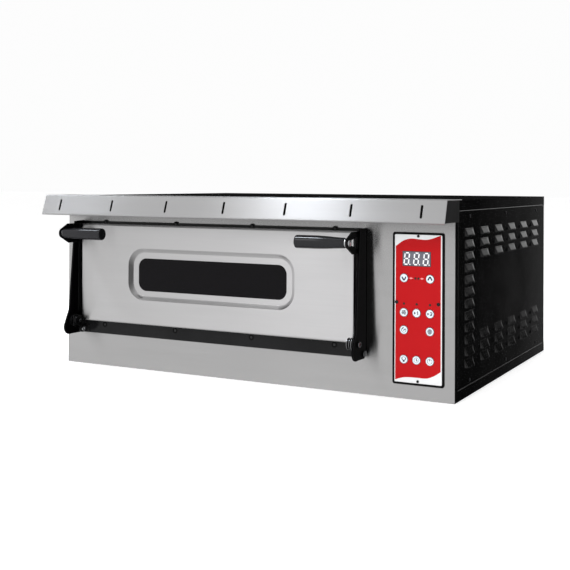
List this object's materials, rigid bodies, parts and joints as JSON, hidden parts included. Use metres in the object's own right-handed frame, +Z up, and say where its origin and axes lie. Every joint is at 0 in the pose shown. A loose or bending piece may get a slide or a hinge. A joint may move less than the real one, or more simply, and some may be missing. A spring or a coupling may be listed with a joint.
{
  "type": "deck oven",
  "caption": "Single-chamber electric deck oven with a drop-down windowed door on two side levers, a slotted canopy, a louvred black cabinet and a push-button panel.",
  "frame": {"origin": "on the resting plane, under the middle of the box around the whole object", "axes": "+X to the right seen from the front, +Y towards the back, +Z up"},
  "size_m": [1.018, 0.886, 0.4145],
  "materials": {
    "fascia_steel": "horizontally brushed",
    "canopy_steel": "brushed, bright",
    "door_steel": "brushed",
    "black_shell": "gloss black powder coat",
    "black_frame": "semi-gloss black enamel",
    "black_lever": "satin black",
    "liner_steel": "heat-tinted aluminised steel",
    "inner_steel": "zinc-plated sheet",
    "stone": "porous cordierite",
    "element_steel": "oxidised sheath",
    "insulation": "mineral fibre",
    "lamp_glass": "clear",
    "bulb_glass": "clear",
    "window_glass": "dark, heat-resisting",
    "seal": "silicone",
    "panel_red": "printed overlay",
    "display_face": "smoked lens",
    "led_lens": "dark lens",
    "key_cap": "printed dome",
    "grip_black": "thermoset",
    "zinc": "bright zinc",
    "dark_screw": "blackened",
    "board": "solder mask",
    "moulded_grey": "moulded",
    "moulded_cream": "moulded",
    "copper_coil": "varnished",
    "outlet_steel": "drawn tube",
    "gland_plastic": "nylon",
    "brass": "turned"
  },
  "bodies": {
    "cabinet": {"base_tray": "black_shell", "front_fascia": "fascia_steel", "corner_posts": "black_shell", "roof_cover": "black_shell", "side_panel_left": "black_shell", "side_panel_right": "black_shell", "back_panel": "black_shell", "cabinet_screws": "dark_screw", "canopy": "canopy_steel", "canopy_end_caps": "black_frame", "mouth_frame": "black_frame", "mouth_frame_screws": "dark_screw", "chamber_liner": "liner_steel", "refractory_stones": "stone", "heating_elements": "element_steel", "insulation_slabs": "insulation", "lamp_housing": "inner_steel", "lamp_bulb": "bulb_glass", "lamp_glass": "lamp_glass", "temperature_probe": "inner_steel", "bay_partition": "inner_steel", "control_board": "board", "contactors": "moulded_grey", "transformer": "copper_coil", "terminal_block": "moulded_cream", "safety_thermostat": "moulded_cream", "control_gasket": "seal", "control_plate": "panel_red", "display_module": "moulded_grey", "display_lens": "display_face", "indicator_leds": "led_lens", "control_screws": "dark_screw", "steam_outlet": "outlet_steel", "cable_gland": "gland_plastic", "earth_stud": "brass", "hinge_brackets": "black_frame", "hinge_pins": "zinc"},
    "door": {"door_skin": "door_steel", "window_panes": "window_glass", "window_gasket": "seal", "door_insulation": "insulation", "door_tray": "black_frame", "lever_left": "black_lever", "lever_right": "black_lever", "handle_brackets": "black_lever", "grip_left": "grip_black", "grip_right": "grip_black", "grip_bolts": "zinc", "hinge_bushes": "zinc", "bush_bolts": "zinc"},
    "button_down": {"button_down": "key_cap"},
    "button_up": {"button_up": "key_cap"},
    "button_set": {"button_set": "key_cap"},
    "button_program_1": {"button_program_1": "key_cap"},
    "button_program_2": {"button_program_2": "key_cap"},
    "button_delay": {"button_delay": "key_cap"},
    "button_elements": {"button_elements": "key_cap"},
    "button_lamp": {"button_lamp": "key_cap"},
    "button_timer": {"button_timer": "key_cap"},
    "button_power": {"button_power": "key_cap"}
  },
  "joints": [
    {"name": "door_hinge", "type": "hinge", "parent": "cabinet", "child": "door", "pos_m": [-0.076, -0.36, 0.088], "axis": [1, 0, 0], "range_deg": [0, 85]},
    {"name": "press_down", "type": "slide", "parent": "cabinet", "child": "button_down", "axis": [0, 1, 0], "range_m": [0, 0.0008], "stiffness_N_per_m": 800, "springref_m": -0.001},
    {"name": "press_up", "type": "slide", "parent": "cabinet", "child": "button_up", "axis": [0, 1, 0], "range_m": [0, 0.0008], "stiffness_N_per_m": 800, "springref_m": -0.001},
    {"name": "press_set", "type": "slide", "parent": "cabinet", "child": "button_set", "axis": [0, 1, 0], "range_m": [0, 0.0008], "stiffness_N_per_m": 800, "springref_m": -0.001},
    {"name": "press_program_1", "type": "slide", "parent": "cabinet", "child": "button_program_1", "axis": [0, 1, 0], "range_m": [0, 0.0008], "stiffness_N_per_m": 800, "springref_m": -0.001},
    {"name": "press_program_2", "type": "slide", "parent": "cabinet", "child": "button_program_2", "axis": [0, 1, 0], "range_m": [0, 0.0008], "stiffness_N_per_m": 800, "springref_m": -0.001},
    {"name": "press_delay", "type": "slide", "parent": "cabinet", "child": "button_delay", "axis": [0, 1, 0], "range_m": [0, 0.0008], "stiffness_N_per_m": 800, "springref_m": -0.001},
    {"name": "press_elements", "type": "slide", "parent": "cabinet", "child": "button_elements", "axis": [0, 1, 0], "range_m": [0, 0.0008], "stiffness_N_per_m": 800, "springref_m": -0.001},
    {"name": "press_lamp", "type": "slide", "parent": "cabinet", "child": "button_lamp", "axis": [0, 1, 0], "range_m": [0, 0.0008], "stiffness_N_per_m": 800, "springref_m": -0.001},
    {"name": "press_timer", "type": "slide", "parent": "cabinet", "child": "button_timer", "axis": [0, 1, 0], "range_m": [0, 0.0008], "stiffness_N_per_m": 800, "springref_m": -0.001},
    {"name": "press_power", "type": "slide", "parent": "cabinet", "child": "button_power", "axis": [0, 1, 0], "range_m": [0, 0.0008], "stiffness_N_per_m": 800, "springref_m": -0.001}
  ]
}
